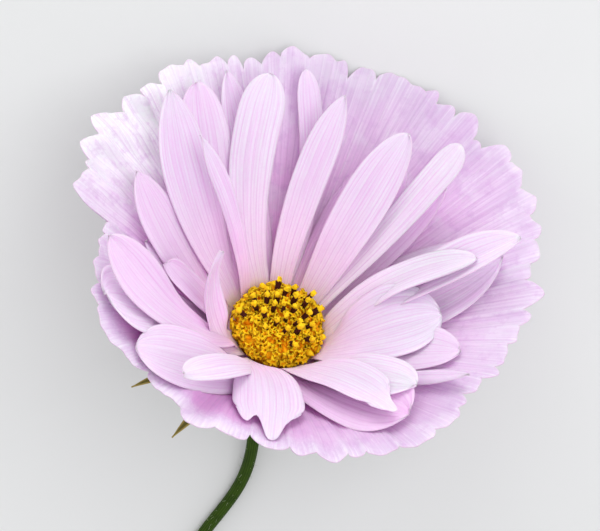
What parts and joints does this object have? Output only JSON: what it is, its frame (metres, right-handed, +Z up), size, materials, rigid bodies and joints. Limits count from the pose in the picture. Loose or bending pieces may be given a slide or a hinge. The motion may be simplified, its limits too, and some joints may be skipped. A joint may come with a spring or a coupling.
{
  "type": "cosmos flower",
  "caption": "Cut cosmos bloom lying on its rim and stem: a pleated, scalloped cup of joined pale pink petals, a crown of loose inner petals and a domed yellow disc.",
  "frame": {"origin": "middle of the bounding box's underside, on the surface that the flower lies on", "axes": "+Z up from that surface; the cut stem lies along -Y from the head, and the bloom faces up and towards +Y, its axis leaning 53.5 degrees from +Z"},
  "size_m": [0.0792, 0.1426, 0.0634],
  "materials": {
    "inner_petal": "soft satin, fine veins along the blade",
    "outer_cup": "soft satin, pleated, with fine veins",
    "disc": "matt and powdery",
    "inner_bract": "satin, translucent brownish green with dark veins",
    "green": "satin green, finely ribbed"
  },
  "bodies": {
    "root": {"outer_cup": "outer_cup", "disc_florets": "disc", "inner_bracts": "inner_bract", "outer_bracts": "green", "stem": "green", "inner_petal_01": "inner_petal", "inner_petal_02": "inner_petal", "inner_petal_03": "inner_petal", "inner_petal_04": "inner_petal", "inner_petal_05": "inner_petal", "inner_petal_06": "inner_petal", "inner_petal_07": "inner_petal", "inner_petal_08": "inner_petal", "inner_petal_09": "inner_petal", "inner_petal_10": "inner_petal", "inner_petal_11": "inner_petal", "inner_petal_12": "inner_petal", "inner_petal_13": "inner_petal", "inner_petal_14": "inner_petal", "inner_petal_15": "inner_petal", "inner_petal_16": "inner_petal", "inner_petal_17": "inner_petal", "inner_petal_18": "inner_petal", "inner_petal_19": "inner_petal", "inner_petal_20": "inner_petal", "inner_petal_21": "inner_petal", "inner_petal_22": "inner_petal", "inner_petal_23": "inner_petal", "inner_petal_24": "inner_petal", "inner_petal_25": "inner_petal", "inner_petal_26": "inner_petal", "inner_petal_27": "inner_petal", "inner_petal_28": "inner_petal", "inner_petal_29": "inner_petal", "inner_petal_30": "inner_petal"}
  },
  "joints": []
}
